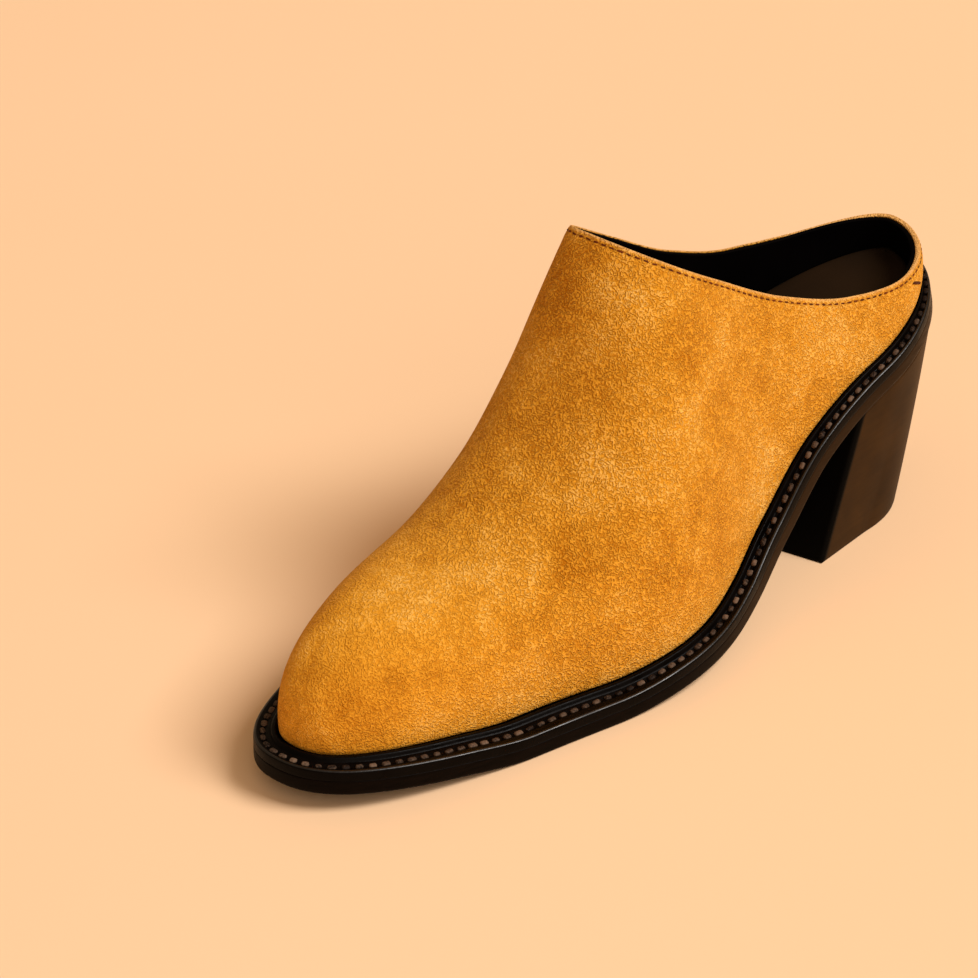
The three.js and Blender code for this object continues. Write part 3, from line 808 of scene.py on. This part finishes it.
def capsule(sides, rings):
    """Points of a stitch of unit length and unit thickness lying along its first axis: round
    rings whose radius follows a flattened half circle toward both ends, and its faces."""
    t = np.linspace(-1, 1, rings)
    radius = (1 - np.abs(t) ** 5) ** 0.5
    turn = 2 * np.pi * np.arange(sides) / sides
    body = np.stack(np.broadcast_arrays(t[:, None] * 0.5, radius[:, None] * np.cos(turn) * 0.5,
                                        radius[:, None] * np.sin(turn) * 0.5), -1)
    inner = body[1:-1].reshape(-1, 3)
    ends = np.array([[-0.5, 0, 0], [0.5, 0, 0]])
    return np.concatenate([inner, ends]), tube_faces(rings - 2, sides)


def resample(path, normal, pitch):
    """Points at an even pitch along a closed path, with the directions along it and out of it."""
    ends = np.concatenate([path, path[:1]])
    ups = np.concatenate([normal, normal[:1]])
    run = run_along(ends)
    count = int(round(run[-1] / pitch))
    want = run[-1] * (np.arange(count) + 0.5) / count

    def at(values, w):
        return np.stack([np.interp(w, run, values[:, k]) for k in range(3)], -1)

    half = pitch * 0.3
    here = at(ends, want)
    along = unit(at(ends, np.minimum(want + half, run[-1]))
                 - at(ends, np.maximum(want - half, 0)))
    up = at(ups, want)
    return here, along, unit(up - along * np.einsum("ij,ij->i", up, along)[:, None])


UNEVEN_TURN, UNEVEN_SIZE, UNEVEN_WEAR = 0.05, 0.09, 0.15


def stitches(name, path, size, lift, skew, worn, material, seed):
    """Row of stitches as one mesh: each is the capsule scaled to its length, width and height,
    turned by skew in the surface, with a little seeded unevenness of place, size and wear."""
    here, along, up = path
    bead, faces = capsule(sides=8, rings=8)
    rng = np.random.default_rng(seed)
    count = len(here)
    turn = skew + rng.normal(0, UNEVEN_TURN, count)
    side_way = np.cross(up, along)
    a = along * np.cos(turn)[:, None] + side_way * np.sin(turn)[:, None]
    b = np.cross(up, a)
    size = np.array(size) * (1 + rng.normal(0, UNEVEN_SIZE, (count, 3)))
    local = bead[None] * size[:, None]
    points = (here[:, None] + up[:, None] * lift + a[:, None] * local[..., :1]
              + b[:, None] * local[..., 1:2] + up[:, None] * local[..., 2:])
    faces = (faces[None] + (np.arange(count) * len(bead))[:, None, None]).reshape(-1, 3)
    piece = make_mesh(name, points.reshape(-1, 3), faces, material)
    add_value(piece, "worn", np.repeat(worn + rng.normal(0, UNEVEN_WEAR, count), len(bead)))
    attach(piece, "root")


def contour(drop):
    """Closed path on the dressed skin at one distance from the collar's edge, in the order of the
    ribs, with the skin's normals."""
    ids, d = skin["ids"], skin["distance"]
    path, ups = [], []
    for i in range(loop.count):
        column = ids[i]
        if d[column[0]] >= drop:
            continue
        j = int(np.argmax(d[column] >= drop))
        if j == 0:
            continue
        low, high = d[column[j - 1]], d[column[j]]
        t = (drop - low) / (high - low)
        path.append(skin_points[column[j - 1]] * (1 - t) + skin_points[column[j]] * t)
        ups.append(skin["normal"][column[j - 1]])
    return np.array(path), np.array(ups)


collar_path, collar_ups = contour(STITCH_DROP)
collar_row = resample(collar_path, collar_ups, STITCH_PITCH)
# One bar tack below the row, at the outer side of the back
TACK_PLACE = np.array([22.9, 217.9, 62.7])
TACK_LINE = np.array([-1.2, 3.8, -2.0])
TACK_SIZE, STITCH_SIZE = (6.0, 0.8, 0.6), (1.5, 0.5, 0.34)
near_tack = np.linalg.norm(skin_points - TACK_PLACE, axis=1).argmin()
tack_up = skin["normal"][near_tack]
tack_along = unit(TACK_LINE - tack_up * (tack_up @ TACK_LINE))
collar_row = [np.concatenate([row, one[None]]) for row, one in
              zip(collar_row, (skin_points[near_tack], tack_along, tack_up))]
is_tack = np.arange(len(collar_row[0])) == len(collar_row[0]) - 1
stitches("collar_stitches", collar_row, np.where(is_tack[:, None], TACK_SIZE, STITCH_SIZE),
         0.0, 0.0, 0.35 - 0.4 * is_tack, COLLAR_THREAD, 3)


# Welt

# Middle of the stitch channel across the welt, as a share of its width
CHANNEL = {"s": [0, 40, 110, 240], "share": [0.36, 0.4, 0.49, 0.5]}
WELT_EDGE = 0.65     # radius of the welt's top edge
WELT_PITCH = 3.3
WELT_STITCH = (2.3, 1.6, 1.0)
CHANNEL_DEPTH, CHANNEL_WIDTH = 0.45, 0.85
RIB_START, RIB_TOP, RIB_BEND, RIB_END = 0.62, 0.73, 0.83, 0.93   # shares of the welt's width
RUBBED_ROWS = 7, 10  # section rows on the upper part of the round edge
channel = steady(CHANNEL, "share")(loop.s) * loop.margin


def welt_top_height(inset, width):
    """Height of the welt's upper side at an inset: a flat with a shallow stitch channel, then the
    rounded rib beside the upper."""
    share = inset / width
    groove = CHANNEL_DEPTH * np.exp(-((inset - channel) / CHANNEL_WIDTH) ** 2)
    rise = RIB_RISE * steps_between(share, RIB_START, RIB_TOP)
    return WELT_TOP - groove + rise * (1 - 0.5 * steps_between(share, RIB_BEND, RIB_END))


def welt_mesh():
    """Section of the welt carried round the shoe's edge. The section is closed: side, rounded
    top edge, flat with the channel, rib, flange under the upper, and back underneath."""
    m = loop.margin
    section = []
    for height in (OUTSOLE_THICK + 0.03, 4.2, 4.8, 5.4):
        section.append((flat + (0.05 if height < 4.1 else 0), flat + height))
    for turn in np.linspace(0, np.pi / 2, 7):
        section.append((flat + WELT_EDGE * (1 - math.cos(turn)),
                        flat + WELT_TOP - WELT_EDGE * (1 - math.sin(turn))))
    first = WELT_EDGE + 0.15
    for t in np.linspace(0, 1, 30):
        inset = first + (RIB_END * m - first) * t
        section.append((inset, welt_top_height(inset, m)))
    section.append((0.94 * m, flat + WELT_TOP))
    section.append((m + 1.8, flat + WELT_TOP - 0.05))
    section.append((m + 1.8, flat + OUTSOLE_THICK + 0.35))
    section.append((0.5 * m, flat + OUTSOLE_THICK + 0.05))
    rings = np.stack([loop.on_sole(inset, height) for inset, height in section])
    points = rings.reshape(-1, 3)
    faces = ring_faces(len(section), loop.count)
    k = np.arange(loop.count)
    last = (len(section) - 1) * loop.count
    close = np.stack([last + k, last + (k + 1) % loop.count, (k + 1) % loop.count, k], -1)
    return points, outward(points, np.concatenate([faces, close]))


welt_points, welt_faces = welt_mesh()
welt = make_mesh("welt_band", welt_points, welt_faces, WELT)
section_row = np.arange(len(welt_points)) // loop.count
add_value(welt, "rubbed", (section_row >= RUBBED_ROWS[0]) & (section_row <= RUBBED_ROWS[1]))
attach(welt, "root")
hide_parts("welt")

channel_path = loop.on_sole(channel, WELT_TOP - 0.3)
channel_up = loop.on_sole(channel, WELT_TOP + 1) - channel_path
channel_row = resample(channel_path, channel_up, WELT_PITCH)
back_dirt = 0.35 * steps_between(channel_row[0][:, 1], 185, 225)
stitches("welt_stitches", channel_row, WELT_STITCH, 0.02, 0.16, 0.13 - back_dirt, WELT_THREAD,
         5)


# Outsole and insole

LID_COLUMNS = 14


def lid(ring, height, dish):
    """Points inside a ring of the shoe's edge: columns between each station's outer and inner
    point, at a height square to the underside, and let down by dish as a sine across."""
    outer = np.arange(1, loop.last)
    t = np.arange(1, LID_COLUMNS) / LID_COLUMNS
    a, b = ring[outer][:, None], ring[loop.mirror[outer]][:, None]
    p = a + (b - a) * t[None, :, None]
    tilt = np.arctan(underside(np.clip(p[..., 1], 0, LENGTH), True))
    p[..., 2] = underside(np.clip(p[..., 1] + height * np.sin(tilt), 0, LENGTH))
    p[..., 2] += height * np.cos(tilt)
    p[..., 2] -= dish * np.sin(np.pi * t)[None, :]
    return p


def slab(name, sections, lids, material, slot):
    """Solid carried round the shoe's edge from section points of (inset, height), from the lower
    face up. Each lid of (section number, height, dish) closes the ring of that section."""
    rings = [loop.on_sole(inset, height) for inset, height in sections]
    points = [np.concatenate(rings)]
    faces = [ring_faces(len(rings), loop.count)]
    total = len(points[0])
    outer = np.arange(loop.last + 1)
    for level, height, dish in lids:
        start = (level % len(rings)) * loop.count
        middle = lid(rings[level], height, dish).reshape(-1, 3)
        points.append(middle)
        number = np.empty((loop.last + 1, LID_COLUMNS + 1), int)
        number[:, 0] = start + outer
        number[:, -1] = start + loop.mirror[outer]
        number[1:-1, 1:-1] = total + np.arange(len(middle)).reshape(loop.last - 1, -1)
        number[0, 1:-1] = start
        number[-1, 1:-1] = start + loop.last
        total += len(middle)
        grid = np.stack([number[:-1, :-1], number[1:, :-1], number[1:, 1:], number[:-1, 1:]], -1)
        grid = grid.reshape(-1, 4)
        # The lower lid faces down, the upper one up
        faces.append(grid[:, ::-1] if level == 0 else grid)
    points = np.concatenate(points)
    triangles = halved(np.concatenate(faces))
    # Triangles with two corners at one point are left out
    sides = np.stack([triangles, np.roll(triangles, -1, axis=1)], -1)
    triangles = outward(points, triangles[(sides[..., 0] != sides[..., 1]).all(1)])
    piece = make_mesh(name, points, triangles, material)
    add_value(piece, "waist", steps_between(points[:, 1], 105, 150))
    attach(piece, "root")
    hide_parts(slot)


SOLE_SECTION = [(0.9, 0.0), (0.5, 0.08), (0.2, 0.3), (0.05, 0.7), (0, 1.3), (0, 3.3), (0, 3.8),
                (0.08, OUTSOLE_THICK)]
INSOLE_LOW = OUTSOLE_THICK + 0.1
INSOLE_SECTION = [(2.35, INSOLE_LOW), (2.35, 7.2), (2.6, 7.6), (3.1, 7.9), (3.8, INSOLE_TOP)]
slab("outsole_slab", [(flat + inset, height) for inset, height in SOLE_SECTION],
     [(0, 0.0, 0.0), (-1, OUTSOLE_THICK, 0.0)], SOLE, "outsole")
slab("insole_bed", [(loop.margin + inset, height) for inset, height in INSOLE_SECTION],
     [(0, INSOLE_LOW, 0.0), (-1, INSOLE_TOP, 0.5)], SOCK, "insole")


# Heel

def path_by_length(path, shares):
    """Points of an open path at shares of its length."""
    run = run_along(path)
    return np.stack([np.interp(shares * run[-1], run, path[:, k]) for k in range(2)], -1)


HEEL_CURVE = 0.85            # below 1 the back of the heel is squarer than a circle
HEEL_DROP = SEAM * 0.3       # the block's top lies this far under the outsole
BACK_COLUMNS, BREAST_COLUMNS, HEEL_ROWS, CORNER_TRIES = 150, 40, 36, 4
BREAST_HEIGHT = 40           # about the height of the breast corner under the outsole


def at_station(path, s):
    """Number of the first point past station s on a path that runs toward the heel, and the
    path's own point at s."""
    k = np.searchsorted(path[:, 1], s)
    t = (s - path[k - 1, 1]) / (path[k, 1] - path[k - 1, 1])
    return k, path[k - 1] + (path[k] - path[k - 1]) * t


def heel_paths(count, breast):
    """Floor and seat outlines of the heel in plan, matched by share of length, from the outer
    breast corner round the back to the inner one, then across the breast."""
    edge = np.stack([loop.x + loop.in_x * HEEL_INSET, loop.s + loop.in_s * HEEL_INSET], -1)
    outer = edge[: loop.last + 1]
    inner = edge[loop.last :]
    start, corner_out = at_station(outer, BREAST_HIGH)
    # The inner corner's station depends on the breast's width and the width on the corner
    width = corner_out[0] * 2
    for _ in range(CORNER_TRIES):
        inner_s = BREAST_HIGH - width * math.tan(BREAST_TURN)
        corner_in = at_station(inner[::-1], inner_s)[1]
        width = corner_out[0] - corner_in[0]
    seat = np.concatenate([corner_out[None], outer[start:], inner[1:][inner[1:, 1] > inner_s],
                           corner_in[None]])
    turn = np.linspace(0, np.pi, 90)
    half = np.where(np.cos(turn) > 0, HEEL_OUTER, HEEL_INNER)
    x = HEEL_TAPER * half * np.sign(np.cos(turn)) * np.abs(np.cos(turn)) ** HEEL_CURVE
    s = HEEL_ROUND + (HEEL_BACK - HEEL_ROUND) * np.abs(np.sin(turn)) ** HEEL_CURVE
    low_in = BREAST_LOW - (HEEL_OUTER + HEEL_INNER) * math.tan(BREAST_TURN)
    floor = np.concatenate([[[HEEL_OUTER, BREAST_LOW]], np.stack([x, s], -1),
                            [[-HEEL_INNER, low_in]]])
    share = np.linspace(0, 1, count)
    across = np.linspace(0, 1, breast + 1)[1:-1, None]
    floor, seat = path_by_length(floor, share), path_by_length(seat, share)
    bow = np.concatenate([np.sin(np.pi * share), np.zeros(breast - 1)])
    floor = np.concatenate([floor, floor[-1] + (floor[0] - floor[-1]) * across])
    seat = np.concatenate([seat, seat[-1] + (seat[0] - seat[-1]) * across])
    return floor, seat, bow


def breast_painted_shade(points):
    """1 on the front face of the heel, made near-black as painted shade, and 0 on its sides and
    back: how far a point lies behind the straight line between the front corners at its height."""
    t = np.clip(points[:, 2] / BREAST_HEIGHT, 0, 1.4)
    corner = BREAST_LOW + (BREAST_HIGH - BREAST_LOW) * t
    face = corner - (HEEL_OUTER - points[:, 0]) * math.tan(BREAST_TURN)
    return 1 - steps_between(points[:, 1] - face, 1.2, 2.2)


def heel_mesh():
    """Heel block: straight lines from the floor outline to the seat outline, bowed out at the back
    as 4t(1-t) of the way up, its floor edge rounded, closed below and above by rings that shrink
    to the middle."""
    floor, seat, bow = heel_paths(BACK_COLUMNS, BREAST_COLUMNS)
    count = len(floor)
    top = raised(seat[:, 0], seat[:, 1], -HEEL_DROP)
    foot = np.concatenate([floor, np.zeros((count, 1))], 1)
    middle = floor.mean(0)
    rows = []
    inward = unit(middle - floor)
    for shrink in (0.03, 0.35, 0.7, 0.97):
        ring = foot.copy()
        ring[:, :2] = middle + (floor + inward * 0.5 - middle) * shrink
        rows.append(ring)
    for inset, height in ((0.5, 0.0), (0.22, 0.1), (0.06, 0.35)):
        ring = foot.copy()
        ring[:, :2] += inward * inset
        ring[:, 2] = height
        rows.append(ring)
    for t in np.linspace(0.02, 1, HEEL_ROWS):
        ring = foot + (top - foot) * t
        ring[:, 1] += 4 * t * (1 - t) * HEEL_SWELL * bow
        rows.append(ring)
    seat_middle = seat.mean(0)
    for shrink in (0.97, 0.6, 0.25, 0.03):
        q = seat_middle + (seat - seat_middle) * shrink
        rows.append(raised(q[:, 0], q[:, 1], -HEEL_DROP))
    points = np.concatenate(rows)
    points = np.concatenate([points, rows[0].mean(0)[None], rows[-1].mean(0)[None]])
    return points, outward(points, tube_faces(len(rows), count))


heel_points, heel_faces = heel_mesh()
heel = make_mesh("heel_block", heel_points, heel_faces, HEEL)
# Painted shade on the heel's breast
add_value(heel, "breast", breast_painted_shade(heel_points))
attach(heel, "root")
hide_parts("heel")


# Floor, lights and camera

def peach_paper():
    """Seamless paper of pale peach: matt, nearly even."""
    material, tree, where = new_material("peach_paper_floor")
    cloud = add(tree, "TexNoise", {"Vector": where, "Scale": 1 / 400.0, "Detail": 2.0})
    colour = add(tree, "ValToRGB", {"Fac": cloud}, [(0.3, "#FFD8AE"), (0.7, "#FFDAB2")])
    return finish_material(material, tree, None, 0.0, {
        "Base Color": colour, "Roughness": 0.9, "Specular IOR Level": 0.1})


def make_floor():
    """Flat floor far past the camera's view."""
    far = 4.0
    mesh = bpy.data.meshes.new("floor")
    corners = [(-far, -far, 0), (far, -far, 0), (far, far, 0), (-far, far, 0)]
    mesh.from_pydata(corners, [], [(0, 1, 2, 3)])
    mesh.materials.append(peach_paper())
    floor = bpy.data.objects.new("floor", mesh)
    bpy.context.scene.collection.objects.link(floor)


def area_light(name, place, aim, size, power, colour):
    """Square soft light at a place, turned to face a point; both in metres."""
    light = bpy.data.lights.new(name, "AREA")
    light.shape = "SQUARE"
    light.size = size
    light.energy = power
    light.color = linear(colour)[:3]
    lamp = bpy.data.objects.new(name, light)
    lamp.location = place
    lamp.rotation_euler = (Vector(aim) - Vector(place)).to_track_quat("-Z", "Y").to_euler()
    bpy.context.scene.collection.objects.link(lamp)


CAMERA_TURN, CAMERA_RISE, CAMERA_ROLL = (math.radians(a) for a in (45.522, 30.596, -2.194))
CAMERA_DISTANCE = 849.9
CAMERA_TARGET = np.array([-1.656, 78.878, 51.133])
FOCAL_PIXELS, PICTURE_PIXELS, SENSOR = 3417.9, 978, 36.0


def make_camera():
    """Camera at the photograph's angle, looking at a point of the shoe, with its roll."""
    a, e, r = CAMERA_TURN, CAMERA_RISE, CAMERA_ROLL
    back = np.array([math.sin(a) * math.cos(e), -math.cos(a) * math.cos(e), math.sin(e)])
    right = np.array([math.cos(a), math.sin(a), 0.0])
    up = np.cross(back, right)
    right, up = (right * math.cos(r) + up * math.sin(r), up * math.cos(r) - right * math.sin(r))
    place = to_frame(CAMERA_TARGET + back * CAMERA_DISTANCE)
    data = bpy.data.cameras.new("camera")
    data.sensor_width = SENSOR
    data.lens = FOCAL_PIXELS / PICTURE_PIXELS * SENSOR
    camera = bpy.data.objects.new("camera", data)
    turn = Matrix([[*column] for column in zip(right, up, back)]).to_4x4()
    camera.matrix_world = Matrix.Translation(Vector(place)) @ turn
    bpy.context.scene.collection.objects.link(camera)
    bpy.context.scene.camera = camera


LAMP_AIM, LAMP_SIZE = (0, 0, 0.05), 3.4
make_floor()
area_light("key", (4.4, 2.4, 5.8), LAMP_AIM, LAMP_SIZE, 512, "#FFF9F4")
area_light("fill", (4.0, -2.0, 2.5), LAMP_AIM, LAMP_SIZE, 50, "#FFF4EA")
world = bpy.data.worlds.new("studio")
bpy.context.scene.world = world
world.use_nodes = True
world.node_tree.nodes["Background"].inputs["Color"].default_value = linear("#FFD7AA")
world.node_tree.nodes["Background"].inputs["Strength"].default_value = 0.36
bpy.context.scene.view_settings.view_transform = "Standard"
make_camera()
